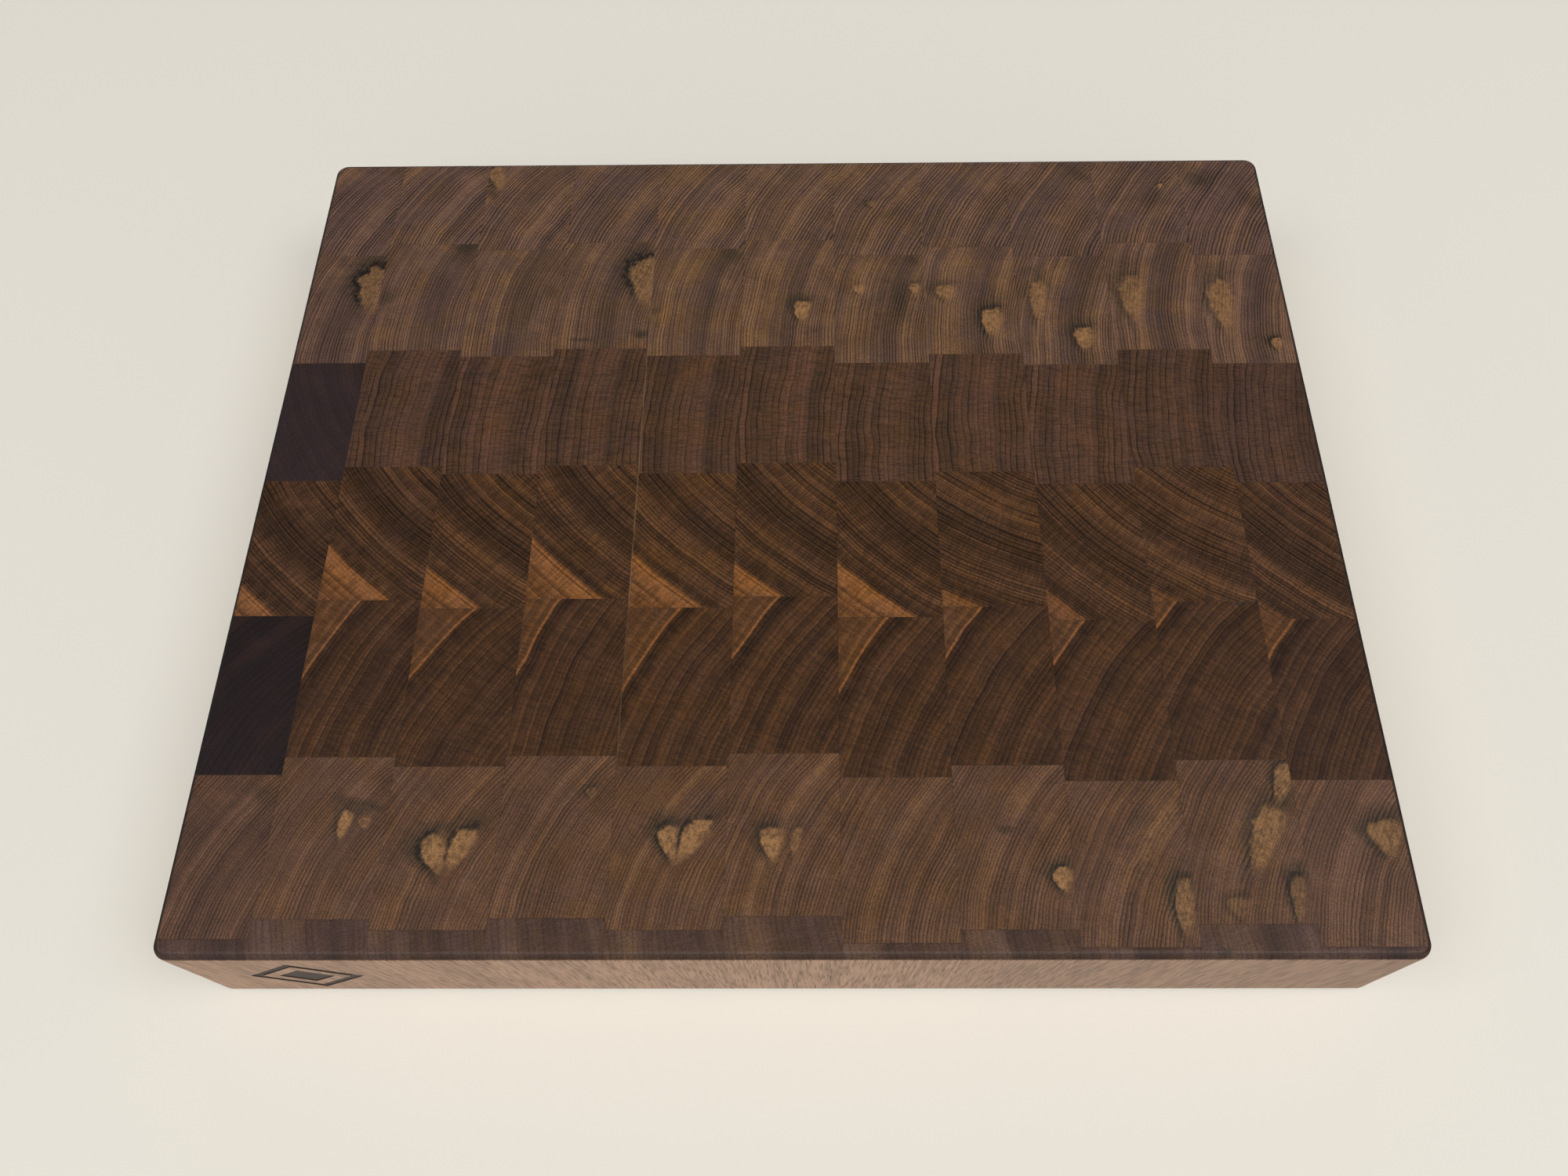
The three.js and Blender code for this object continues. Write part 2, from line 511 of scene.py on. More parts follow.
WOODS = {
    1: Wood(
        pith=(133, -76), pitch=1.6, line=0.75, pale=0.3, wave=2.0, wave_size=26, seed=54,
        contrast=0.35,
        dark=srgb(70, 55, 48), middle=srgb(88, 67, 55), light=srgb(110, 84, 62),
        bands=[(24, 5, 0.22), (7, 4, -0.2), (-6, 5, 0.25), (-19, 4, -0.15)],
    ),
    2: Wood(
        pith=(140, -26), pitch=1.45, line=0.54, pale=0.26, wave=2.0, wave_size=30, seed=48,
        dark=srgb(69, 53, 44), middle=srgb(87, 66, 52), light=srgb(113, 86, 62),
        bands=[(13, 3, 0.3), (6, 2, 0.2), (-5, 5, -0.35), (-16, 4, 0.1)],
    ),
    3: Wood(
        pith=(260, -20), pitch=2.6, line=0.52, pale=0.16, wave=2.4, wave_size=24, seed=107, rays=0.55,
        contrast=0.35,
        dark=srgb(50, 37, 28), middle=srgb(64, 46, 34), light=srgb(75, 53, 40),
        bands=[(14, 4, -0.2), (-4, 5, 0.15), (-12, 3, -0.25)],
    ),
    4: Wood(
        pith=(78, 88), pitch=1.6, line=0.6, pale=0.2, wave=1.3, wave_size=26, seed=65, rays=0.4,
        uneven=2.4, contrast=0.35,
        dark=srgb(44, 30, 18), middle=srgb(59, 40, 25), light=srgb(79, 55, 34),
        bands=[(-18, 2.5, 0.3), (-29, 6, -0.3), (-40, 3, 0.15), (-47, 1.2, 0.6), (-53, 1.2, 0.5)],
        sap_reach=[
            (17.5, 19.5), (28, 32.5), (20.5, 26), (30.5, 33), (27, 31.5), (17.5, 21), (28, 33.5),
            (9, 18), (15, 17), (7, 11), (9, 11),
        ],
        sap_corner=-1, sap_radius=200,
        sap=srgb(109, 73, 42), sap_rim=srgb(117, 77, 41), sap_edge=1.2,
    ),
    5: Wood(
        pith=(85, -36), pitch=2.0, line=0.38, pale=0.17, wave=1.8, wave_size=28, seed=85, rays=0.25,
        uneven=2.6, contrast=0.6,
        dark=srgb(43, 28, 18), middle=srgb(58, 39, 24), light=srgb(71, 48, 30),
        bands=[(-15, 5, 0.12), (-28, 7, -0.12), (-42, 5, 0.12)],
        sap_reach=[
            None, (37.5, 19), (33, 24), (37, 16), (39, 23), (30, 21), (35, 22), (24, 18), (21.5, 16),
            (13, 11), (18.5, 14),
        ],
        sap_corner=1, sap_radius=190,
        sap=srgb(95, 65, 40), sap_rim=srgb(119, 78, 43), sap_edge=0.6,
    ),
    6: Wood(
        pith=(105, -52), pitch=1.35, line=0.46, pale=0.22, wave=2.0, wave_size=26, seed=39,
        contrast=0.28,
        dark=srgb(67, 48, 36), middle=srgb(83, 60, 44), light=srgb(104, 77, 56),
        bands=[(16, 5, -0.1), (4, 4, 0.15), (-8, 5, -0.1), (-18, 4, 0.12)],
    ),
    7: Wood(
        pith=(260, 60), pitch=2.1, line=0.22, pale=0.05, wave=2.0, wave_size=20, seed=78, rays=0.12,
        dark=srgb(55, 41, 34), middle=srgb(70, 52, 43), light=srgb(86, 66, 54),
        bands=[(12, 5, 0.3), (-6, 6, -0.25)],
    ),
}

# Blocks of other, nearly black wood at the left end of strips 3 and 5.
BLACK_BLOCKS = {
    (1, 3): Wood(
        pith=(120, 60), pitch=2.4, line=0.15, pale=0.03, rays=0.05,
        dark=srgb(40, 31, 30), middle=srgb(46, 35, 33), light=srgb(53, 40, 36),
    ),
    (1, 5): Wood(
        pith=(80, -60), pitch=2.8, line=0.35, pale=0.04, rays=0.04,
        dark=srgb(27, 20, 19), middle=srgb(33, 24, 23), light=srgb(46, 31, 26),
    ),
}

# Multiplied with the colour of the wood.
# The cool tint gives purple patches of wood, and also a painted cool sheen toward both ends of the
# board.
COOL_TINT_AND_SHEEN = (0.99, 0.985, 1.16)
WARM_TINT = (1.05, 0.98, 0.71)
LATE_WOOD = (0.32, 0.3, 0.3)
RAY_SHINE = (1.5, 1.44, 1.38)
PORE_SHADE = (0.3, 0.28, 0.28)
FINE_SHINE = (1.8, 1.7, 1.6)
# Painted shade for the rounded top edge, standing in for the dark room that it reflects.
PAINTED_RIM_SHADE = (0.08, 0.08, 0.09)

LONG_GRAIN = srgb(184, 145, 117)
LONG_GRAIN_DARK = srgb(136, 104, 81)
KNOT_GOLD = srgb(134, 100, 66)
KNOT_GOLD_DEEP = srgb(88, 63, 40)
KNOT_HALO = srgb(46, 40, 32)
KNOT_CRACK = srgb(30, 25, 22)
GLUE_DARK = srgb(48, 36, 28)
GLUE_PALE = srgb(128, 104, 80)

OIL_SPECULAR = 0.22
BUMP_STRENGTH = 0.25
BUMP_DEPTH = 0.1
END_GRAIN_FROM = 0.30  # how far up a surface has to face before it shows end grain

# How the blocks of one strip differ. A shade is how far a colour is taken towards a darker one.
SLICE_LENGTH = THICKNESS  # each slice came this much further along the strips
MIDDLE_SLICE = (SLICES + 1) // 2
PITH_SPREAD = 3.0
REACH_SPREAD = 0.5
TONE_SPREAD = 0.09
FIRST_SLICE_TONE = -0.12
SIDE_SHADE = 0.35  # the most that long grain is darkened
FRONT_SHADE = 0.06  # the same at the front, which is more even
DARK_FRONT_SHADE = 0.22  # added to it at the right end
DARK_FRONT_FROM = 8  # the first slice of that end
BLACK_SIDE_SHADE = 0.8
DULL_SAP_FROM = 8  # the first slice whose sapwood in strip 4 is duller
DULL_SAP_AFTER = 5  # the shade is in proportion to the distance from this slice
DULL_SAP_SHADE = 0.12
WARMTH = 0.02  # in the middle of the board
PAINTED_SHEEN_LOSS = 0.02  # painted cool sheen toward both ends: warmth lost, times the square of the number of slices from there
LEAN = 0.04  # of the fibres along the board, seen from the side
LEAN_STEP = 0.05  # the same in the front and rear strips, for each slice left of the middle one
PALE_JOINTS = {  # blocks whose right joint shows a line of pale glue, and how clearly
    (4, 2): 0.5, (4, 3): 0.6, (4, 4): 0.6, (4, 5): 0.25, (6, 2): 0.35, (7, 1): 0.2, (7, 2): 0.5,
}

MARKED_SLICES = (1, 2)  # whose front blocks are branded
MARK_MIDDLE = (-191.0, 31.5)  # along the board, and above the floor
MARK_REACHES = (22.5, 17.5, 11.0)  # to the points of the outline, its inside, and the solid lozenge
MARK_DEPTH = 0.4
MARK_OVERRUN = 1.0  # how far the cutter stands out of the board
BURNT = srgb(38, 26, 23)
BURNT_LIGHT = srgb(66, 48, 41)


@dataclass
class Knot:
    """A knot or stain. Places are in millimetres from the middle of its block, the tilt in degrees."""

    x: float
    y: float
    wide: float  # half width
    tall: float  # half height
    tilt: float = 0.0
    gold: float = 1.0  # how much pale, gnarled wood fills it
    halo: float = 0.6  # how dark the stain round its left side is
    crack: float = 0.0  # how black the line round its left side is


def stain(x, y, wide, tall, dark, tilt=0.0):
    """A dark stain with no gnarled wood in it."""
    return Knot(x, y, wide, tall, tilt, gold=0.0, halo=dark)


KNOTS = {
    (3, 1): [Knot(-17, 20, 5, 8, 10, 0.8, 0.8, 0.3), stain(-19, 8, 4, 4, 0.7)],
    (5, 1): [stain(-19, 18, 4, 9, 0.35)],
    (7, 1): [Knot(-2, 2, 3, 2.5, 20, 0.5, 0.6, 0.4), stain(8, -4, 9, 3, 0.5, tilt=30)],
    (9, 1): [stain(15, 22, 8, 4, 0.55, tilt=-40)],
    (10, 1): [Knot(12, 9, 1.6, 2.4, -20, 0.9, 0.6, 0.5), stain(7, 0, 7, 9, 0.6, tilt=-20)],
    (11, 1): [stain(-10, 18, 10, 7, 0.75), stain(14, 2, 7, 7, 0.6)],
    (1, 2): [Knot(18, 12, 12, 15, -8, 0.6, 0.6, 1.0)],
    (2, 2): [stain(17, 31, 7, 5, 1.0), stain(-19, -1, 5, 6, 0.7), stain(8, 3, 2, 12, 0.3, tilt=-5)],
    (3, 2): [stain(8, -4, 3.5, 15, 0.5, tilt=-12), stain(17, 6, 4, 5, 0.45)],
    (4, 2): [
        Knot(21, 9, 11, 15, -6, 0.65, 0.6, 1.0),
        stain(18.5, -25, 4, 3, 1.0),
        stain(-10, -28, 7, 1.4, 0.8),
    ],
    (5, 2): [stain(18, 29, 7, 6, 0.8), stain(-20, -6, 3, 4, 0.7), stain(8, -6, 3, 14, 0.3, tilt=-5)],
    (6, 2): [Knot(7.5, -12, 5, 6.5, -8, 1.0, 0.9, 0.3), stain(13.5, -24, 2, 1.5, 0.5)],
    (7, 2): [
        stain(11, 4, 4.5, 13, 0.9, tilt=-8),
        Knot(18, 11, 3, 4, 0, 0.8, 0.6, 0.2),
        Knot(-9, 11.5, 3.5, 3, 0, 0.8, 0.1),
        stain(17, 30, 2.5, 4, 0.7, tilt=35),
    ],
    (8, 2): [Knot(10, -14.5, 6.2, 8.5, -8, 1.0, 1.0, 0.5), Knot(-11, 4, 6, 5, 0, 0.7, 0.6)],
    (9, 2): [
        Knot(-11, 4, 5, 14, -4, 0.7, 0.5),
        Knot(8.7, -18, 5.5, 7, -8, 1.0, 0.9, 0.3),
        Knot(-14, 20, 3, 5, 0, 0.1, 0.5),
    ],
    (10, 2): [Knot(-10, -3, 7, 15, 0, 0.65, 0.6, 0.1)],
    (11, 2): [Knot(-10, 1, 7, 17, 0, 0.7, 0.5, 0.1), Knot(11.5, -22, 3.6, 3.8, 0, 0.9, 1.0, 0.9)],
    (4, 4): [stain(4, 0, 2, 2, 0.6)],
    (10, 5): [stain(14, 34.5, 6, 1.2, 0.7)],
    (1, 6): [stain(12, 24, 5, 5, 0.6)],
    (2, 6): [
        Knot(6.6, 4.5, 3.2, 6, -8, 1.0, 0.6, 0.1),
        Knot(14, 9, 8, 3, -20, 0.1, 0.7),
        Knot(15, 5, 3, 2.2, 0, 0.6, 0.2),
    ],
    (3, 6): [
        Knot(-0.5, -3, 6.2, 8, 20, 1.0, 0.9, 0.9),
        Knot(9, -1.5, 5.2, 10, -26, 1.0, 0.6, 0.8),
        stain(3, 8, 9, 3, 0.6, tilt=12),
    ],
    (4, 6): [Knot(13.5, 17, 2.5, 2.5, 0, 0.3, 0.7, 0.2), stain(6, 19, 5, 2, 0.25, tilt=-20)],
    (5, 6): [
        Knot(1.2, 1.5, 4.6, 7.5, 10, 1.0, 0.9, 0.8),
        Knot(10, 2, 5.4, 10, -32, 1.0, 0.6, 0.8),
        stain(3, 9, 8, 3.5, 0.8),
    ],
    (6, 6): [Knot(-3.4, -4.5, 5.2, 7, 0, 1.0, 0.8, 0.3), Knot(5.5, -4, 2.6, 6.5, -10, 0.5, 0.4, 0.1)],
    (8, 6): [Knot(18.5, -13.5, 4.5, 5, 0, 1.0, 0.9, 0.7), stain(-3, 6, 4, 2, 0.8)],
    (9, 6): [
        Knot(19, -18, 4.5, 11, -6, 0.7, 0.9, 0.4),
        Knot(12, 9, 4.5, 17, -32, 0.35, 0.0),
        stain(4, 17, 4, 7, 0.6, tilt=-30),
    ],
    (10, 6): [
        Knot(9, 0, 6.5, 15, -28, 0.8, 0.7, 0.2),
        Knot(19.5, 23, 4.5, 10, -24, 0.75, 0.9, 0.5),
        Knot(17.5, -23, 3.4, 8.5, -8, 0.5, 0.9, 0.7),
        Knot(-5, -26, 5, 4, 0, 0.4, 0.5, 0.2),
    ],
    (11, 6): [Knot(13, 9, 7.5, 7.5, 0, 0.75, 0.8, 0.1), stain(15, -8, 7, 10, 0.3, tilt=-20)],
    (10, 7): [stain(-13.5, -4, 3, 2, 0.8)],
}


# --------------------------------------------------------------------------------------------------
# The wood material.


GROUP_INPUTS = {
    "Place": "NodeSocketVector",  # millimetres from the middle of the block, and along the strip
    "Pith": "NodeSocketVector",  # the same, for the middle of the growth rings
    "Reach": "NodeSocketFloat",  # the radius that bands of colour are measured from
    "Half Size": "NodeSocketVector",  # of the block
    "Shade": "NodeSocketFloat",  # how much lighter than its neighbours the block is
    "Side Shade": "NodeSocketFloat",  # how much darker its long grain is
    "Sap Shade": "NodeSocketFloat",  # how much duller its sapwood is
    "Warmth And Sheen": "NodeSocketFloat",  # how much more golden it is; lower toward both ends, partly wood and partly a painted cool sheen
    "Lean": "NodeSocketFloat",  # how far its fibres lean along the board
    "Push": "NodeSocketFloat",  # how far knots push the rings outward
    "Stain": "NodeSocketFloat",  # masks of what the knots add
    "Gold": "NodeSocketFloat",
    "Crack": "NodeSocketFloat",
    "Pale Joints": "NodeSocketVector",  # how clearly glue shows in the left and right joints
}
GROUP_OUTPUTS = {
    "Colour": "NodeSocketColor",
    "Roughness": "NodeSocketFloat",
    "Height": "NodeSocketFloat",  # for the bump
}


@dataclass
class Grain:
    """The ring pattern that the parts of the wood material share."""

    radius: Field  # from the pith
    angle: Field  # round the pith
    phase: Field  # 0 to 1 across each ring
    ring: Field  # number of the ring


def rings(given, wood):
    """Growth rings of uneven width that wander a little from true circles."""
    place = given["Place"]
    wander = grained(place, wood.wave_size, along=190, shift=(wood.seed, 0, 0), detail=2.5, colour=True)
    bent = wander.vector_math("MULTIPLY_ADD", (2 * wood.wave,) * 3, place)
    centred = bent.vector_math("SUBTRACT", (wood.wave,) * 3)
    across, up, _ = centred.vector_math("SUBTRACT", given["Pith"]).parts()
    radius = join(across, up, 0.0).vector_math("LENGTH") + given["Push"]
    uneven = noise_along(radius / (6.5 * wood.pitch) + wood.seed, detail=2.0) * wood.uneven
    turns = radius / wood.pitch + uneven
    return Grain(radius, up.math("ARCTAN2", across), turns.math("FRACT"), turns.math("FLOOR"))


def ring_tone(given, grain, wood):
    """Where the wood lies between its darkest and its lightest colour, in broad bands of rings."""
    along = given["Place"].parts()[2] / 200
    broad = noise_along(grain.radius / (3.2 * wood.pitch) + along + 3 * wood.seed, detail=1.0)
    cloud = grained(given["Place"], across=14, along=120, detail=3.0)
    each = dice(grain.ring + 0.25)
    tone = broad * 0.9 + cloud + each * wood.contrast - (wood.contrast / 2 + 0.45) + given["Shade"]
    outward = grain.radius - given["Reach"]
    for offset, half_width, strength in wood.bands:
        tone = tone + outward.band(offset, 2 * half_width) * strength
    return tone


def sapwood(given, grain, wood, colour):
    """Sapwood with a bright rim beyond the last ring of heartwood, which is darker against it."""
    streaks = grained(given["Place"], across=5, along=60, detail=3.0)
    beyond = grain.radius - given["Reach"]
    layers = dice(grain.ring + 0.75) * 0.7 + streaks * 0.8 - 0.25 + beyond * 0.02
    fresh = blend(layers.rise(0.15, 0.85), wood.sap, shaded(0.5, wood.sap))
    fresh = blend(beyond.band(wood.sap_edge, 1.1) * 0.8, fresh, wood.sap_rim)
    fresh = blend(given["Sap Shade"], fresh, wood.middle)
    shadow = beyond.rise(-10.0, -1.0) * streaks.rise(0.2, 0.8) * 0.8
    colour = blend(shadow, colour, shaded(0.5, wood.dark))
    return blend(beyond.rise(-wood.sap_edge, wood.sap_edge), colour, fresh)


def hue_patches_and_sheen(given, grain, wood, colour):
    """Patches and rings of more golden and more purple wood, and a cooler tint toward the ends, partly
    painted sheen.
    """
    patches = grained(given["Place"], across=17, along=90, shift=(0, 7, 0), detail=3.0).rise(0.3, 0.7)
    streaks = noise_along(grain.radius / (2.4 * wood.pitch) + 5 * wood.seed, detail=2.0).rise(0.3, 0.7)
    # the per-block input makes the ends cooler: partly the wood, partly a painted sheen
    golden = patches * 0.65 + streaks * 0.2 + 0.08 + given["Warmth And Sheen"]
    return blend(1.0, colour, blend(golden, COOL_TINT_AND_SHEEN, WARM_TINT), "MULTIPLY")


def knot_wood(given, colour):
    """The greenish stain and the gnarled gold wood of knots."""
    colour = blend(given["Stain"], colour, KNOT_HALO)
    mottle = noise(scaled(given["Place"], (1 / 1.6, 1 / 2.4, 1 / 30)))
    gold = blend(mottle.rise(0.4, 0.75) * 0.7, KNOT_GOLD, KNOT_GOLD_DEEP)
    return blend(given["Gold"] * (mottle.rise(0.8, 0.3) * 0.35 + 0.65), colour, gold)


def glue_lines(given, colour):
    """A faint line where the block meets its neighbours, pale where the glue shows."""
    x, y, _ = given["Place"].parts()
    half_wide, half_tall, _ = given["Half Size"].parts()
    at_left, at_right, _ = given["Pale Joints"].parts()
    to_strips, to_slices = half_tall - y.math("ABSOLUTE"), half_wide - x.math("ABSOLUTE")
    for distance, strength in ((to_strips, 0.22), (to_slices, 0.15)):
        colour = blend(distance.rise(0.32, 0.05) * strength, colour, GLUE_DARK)
    broken = noise_along(y / 9, detail=2.0).rise(0.25, 0.55)
    shown = (half_wide - x).rise(0.35, 0.1) * at_right + (half_wide + x).rise(0.35, 0.1) * at_left
    return blend(shown * broken, colour, GLUE_PALE)


def side_grain(given, leaning, grain, tone, pores):
    """The paler long grain of the board's sides, with the same rings running up it as streaks."""
    broad = grained(leaning, across=6, along=90, shift=(0, 4, 0))
    streak = grained(leaning, across=1.1, along=20, shift=(0, 4, 0))
    shade = tone * 0.3 + broad * 0.9 + streak * 2.8 - 1.5
    colour = blend(shade.rise(0.75, 0.15) * 0.8, LONG_GRAIN, LONG_GRAIN_DARK)
    colour = blend(grain.phase.rise(0.6, 0.95) * 0.2, colour, LONG_GRAIN_DARK)
    colour = blend(given["Side Shade"], colour, shaded(0.5, LONG_GRAIN_DARK))
    return blend(pores * 0.6, colour, shaded(0.35, LONG_GRAIN_DARK))


def ring_lines(given, grain, wood):
    """Masks of the dark late wood that closes each ring and the pale early wood that opens the next."""
    clear = grained(given["Place"], across=15, along=150, shift=(5, 0, 0)).rise(0.3, 0.55) * 0.5 + 0.5
    if wood.sap_reach:
        in_heartwood = (grain.radius - given["Reach"]).rise(0.5, -0.5)
        clear = clear * (in_heartwood * 0.6 + 0.4)
    clear = clear * (1 - given["Gold"] * 0.75)
    width = min(0.35, 0.6 / wood.pitch)  # of the dark line, as a share of the ring
    late = grain.phase.rise(1 - 1.6 * width, 1 - 0.6 * width) * grain.phase.rise(1.0, 1 - 0.3 * width)
    late = late * ((dice(grain.ring) * 0.6 + 0.4) * clear)
    early = grain.phase.rise(0.4, 0.1) * (dice(grain.ring + 0.5) * 0.7 + 0.3) * clear
    return late, early


def ray_streaks(given, grain, wood):
    """Noise drawn out along the rays, which run outward from the pith."""
    around = grain.angle * math.hypot(*wood.pith)
    up_the_grain = given["Place"].parts()[2]
    return noise(join(around / 0.6, grain.radius / 7, up_the_grain / 1.5), detail=1.0)


def leaning_place(given):
    """The place in the block, measured along fibres that lean."""
    x, y, z = given["Place"].parts()
    return join(x + z * given["Lean"], y, z)


def painted_edge_shade(colour, forward, up):
    """Painted shade on the rounded top edge, for the dark room it reflects; least of all at the front.
    """
    rim = up.rise(0.99, 0.88) * up.rise(0.0, 0.2) * (0.94 - forward.rise(-0.2, -0.6) * 0.57)
    return blend(rim, colour, PAINTED_RIM_SHADE, "MULTIPLY")


def wood_group(wood, name):
    """The node group of one strip's wood, which its blocks share."""
    group, given, outputs = new_group(name, GROUP_INPUTS, GROUP_OUTPUTS)
    grain = rings(given, wood)
    tone = ring_tone(given, grain, wood)
    late, early = ring_lines(given, grain, wood)
    leaning = leaning_place(given)
    pores = cells(scaled(leaning, (1 / 0.8, 1 / 0.8, 1 / 13))).rise(0.40, 0.16)
    fine = grained(given["Place"], across=0.65, along=8)

    colour = ramp(tone, wood.dark, wood.middle, wood.light)
    if wood.sap_reach:
        colour = sapwood(given, grain, wood, colour)
    # hue patches of the wood, with a painted cool sheen toward both ends of the board
    colour = knot_wood(given, hue_patches_and_sheen(given, grain, wood, colour))
    colour = blend(late * wood.line * 2, colour, LATE_WOOD, "MULTIPLY")
    colour = blend(early * wood.pale, colour, shaded(1.6, wood.light))
    rays = ray_streaks(given, grain, wood).rise(0.35, 0.65) * wood.rays * 3
    colour = blend(rays, colour, RAY_SHINE, "MULTIPLY")
    colour = blend(pores * 0.6, colour, PORE_SHADE, "MULTIPLY")
    colour = blend(fine.rise(0.3, 0.7) * 0.55, colour, FINE_SHINE, "MULTIPLY")
    colour = blend(given["Crack"], colour, KNOT_CRACK)

    normal = Field(group, group.nodes.new("ShaderNodeTexCoord").outputs["Normal"])
    _, forward, up = normal.parts()
    # painted shade along the rounded top edge
    colour = painted_edge_shade(colour, forward, up)
    facing = up.math("ABSOLUTE")
    is_end = (facing + fine * 0.1).rise(END_GRAIN_FROM, END_GRAIN_FROM + 0.1)
    colour = blend(is_end, side_grain(given, leaning, grain, tone, pores), colour)
    plug(glue_lines(given, colour), outputs["Colour"])
    plug(fine * 0.12 + pores * 0.12 + facing.band(0.62, 0.36) * 0.5 + 0.40, outputs["Roughness"])
    plug(fine * 0.4 - pores - late * 0.4, outputs["Height"])
    return group


def find_pith(block, wood, shuffle):
    """The pith, from the middle of the block, and the radius that bands of colour are measured from.

    The last ring before the sapwood runs through two points on the edges of the block.
    """
    if not wood.sap_reach:
        x, y = (place + shuffle.uniform(-PITH_SPREAD, PITH_SPREAD) for place in wood.pith)
        return x, y, math.hypot(*wood.pith)
    half_wide = (block.right - block.left) / 2
    half_tall = (block.rear - block.front) / 2
    along_left_edge, along_other_edge = wood.sap_reach[block.slice - 1]
    first = Vector((-half_wide, wood.sap_corner * (half_tall - along_left_edge)))
    second = Vector((-half_wide + along_other_edge, wood.sap_corner * half_tall))
    chord = second - first
    inward = Vector((-chord.y, chord.x)) * -wood.sap_corner
    rise = math.sqrt(wood.sap_radius**2 - (chord.length / 2) ** 2)
    pith = (first + second) / 2 + inward.normalized() * rise
    return pith.x, pith.y, wood.sap_radius


def side_shade(block, shuffle):
    """How dark the long grain of a block is. The front is the most even side."""
    if (block.slice, block.strip) in BLACK_BLOCKS:
        return BLACK_SIDE_SHADE
    if block.strip == STRIPS:
        at_right_end = DARK_FRONT_SHADE if block.slice >= DARK_FRONT_FROM else 0
        return shuffle.uniform(0, FRONT_SHADE) + at_right_end
    return shuffle.uniform(0, SIDE_SHADE)


def sap_shade(block):
    """How much duller a block's sapwood is."""
    if block.strip == 4 and block.slice >= DULL_SAP_FROM:
        return DULL_SAP_SHADE * (block.slice - DULL_SAP_AFTER)
    return 0


def fibre_lean(block):
    """How far the fibres lean along the board for each millimetre that they rise."""
    if block.strip in (1, STRIPS):
        return LEAN_STEP * (MIDDLE_SLICE - block.slice)
    return LEAN


def block_settings(block, wood, shuffle):
    """What sets one block apart from the others of its strip, by input of the wood group."""
    pith_x, pith_y, reach = find_pith(block, wood, shuffle)
    # the first slice, at the left end of the board, is made darker overall
    left_end_tone = FIRST_SLICE_TONE if block.slice == 1 else 0
    left_glue = PALE_JOINTS.get((block.slice - 1, block.strip), 0)
    right_glue = PALE_JOINTS.get((block.slice, block.strip), 0)
    return {
        "Pith": (pith_x, pith_y, 0),
        "Reach": reach + shuffle.uniform(-REACH_SPREAD, REACH_SPREAD),
        "Half Size": ((block.right - block.left) / 2, (block.rear - block.front) / 2, 0),
        "Shade": shuffle.uniform(-TONE_SPREAD, TONE_SPREAD) + left_end_tone,
        "Side Shade": side_shade(block, shuffle),
        "Sap Shade": sap_shade(block),
        # cooler toward both ends of the board: partly the wood, partly a painted sheen
        "Warmth And Sheen": WARMTH - PAINTED_SHEEN_LOSS * (block.slice - MIDDLE_SLICE) ** 2,
        "Lean": fibre_lean(block),
        "Pale Joints": (left_glue, right_glue, 0),
    }


def knot_masks(knot, place):
    """What a knot adds to its block, by input of the wood group."""
    turn = math.radians(-knot.tilt)
    x, y, _ = scaled(place, (1, 1, 0), (-knot.x, -knot.y, 0)).parts()
    gnarl = grained(place, across=5, along=40, detail=3.0, roughness=0.6)
    up = (x * math.sin(turn) + y * math.cos(turn)) / knot.tall
    taper = (up * 0.4 + 1).math("MAXIMUM", 0.45) * knot.wide
    across = (x * math.cos(turn) - y * math.sin(turn)) / taper
    if knot.gold:
        across = across.math("MAXIMUM", across * 1.6)  # the right side is flatter
    distance = join(across, up, 0.0).vector_math("LENGTH") + gnarl * 0.8 - 0.4  # 1 at the outline
    if not knot.gold:
        return {"Stain": distance.rise(1.5, 0.1) * knot.halo * 0.9}

    upper_left = up * 0.6 - across
    side = upper_left.rise(-0.6, 0.5)
    soft, sharp = distance.rise(1.45, 0.3), distance.rise(1.1, 0.8)
    masks = {
        "Stain": distance.rise(2.1, 0.95) * (side * 0.9 + 0.1) * knot.halo,
        "Gold": (soft + side * (sharp - soft)) * knot.gold,
        "Push": distance.rise(2.0, 0.3) * (0.1 * knot.gold * (knot.wide + knot.tall)),
    }
    if knot.crack:
        ragged = grained(place, across=2.2, along=30, shift=(9, 0, 0)).rise(0.3, 0.55)
        masks["Crack"] = distance.band(1.06, 0.26) * upper_left.rise(0.2, 0.7) * ragged * knot.crack
    return masks


def all_knot_masks(knots, place):
    """The masks of a block's knots. Where knots overlap, the strongest counts."""
    total = {}
    for knot in knots:
        for name, mask in knot_masks(knot, place).items():
            total[name] = total[name].math("MAXIMUM", mask) if name in total else mask
    return total


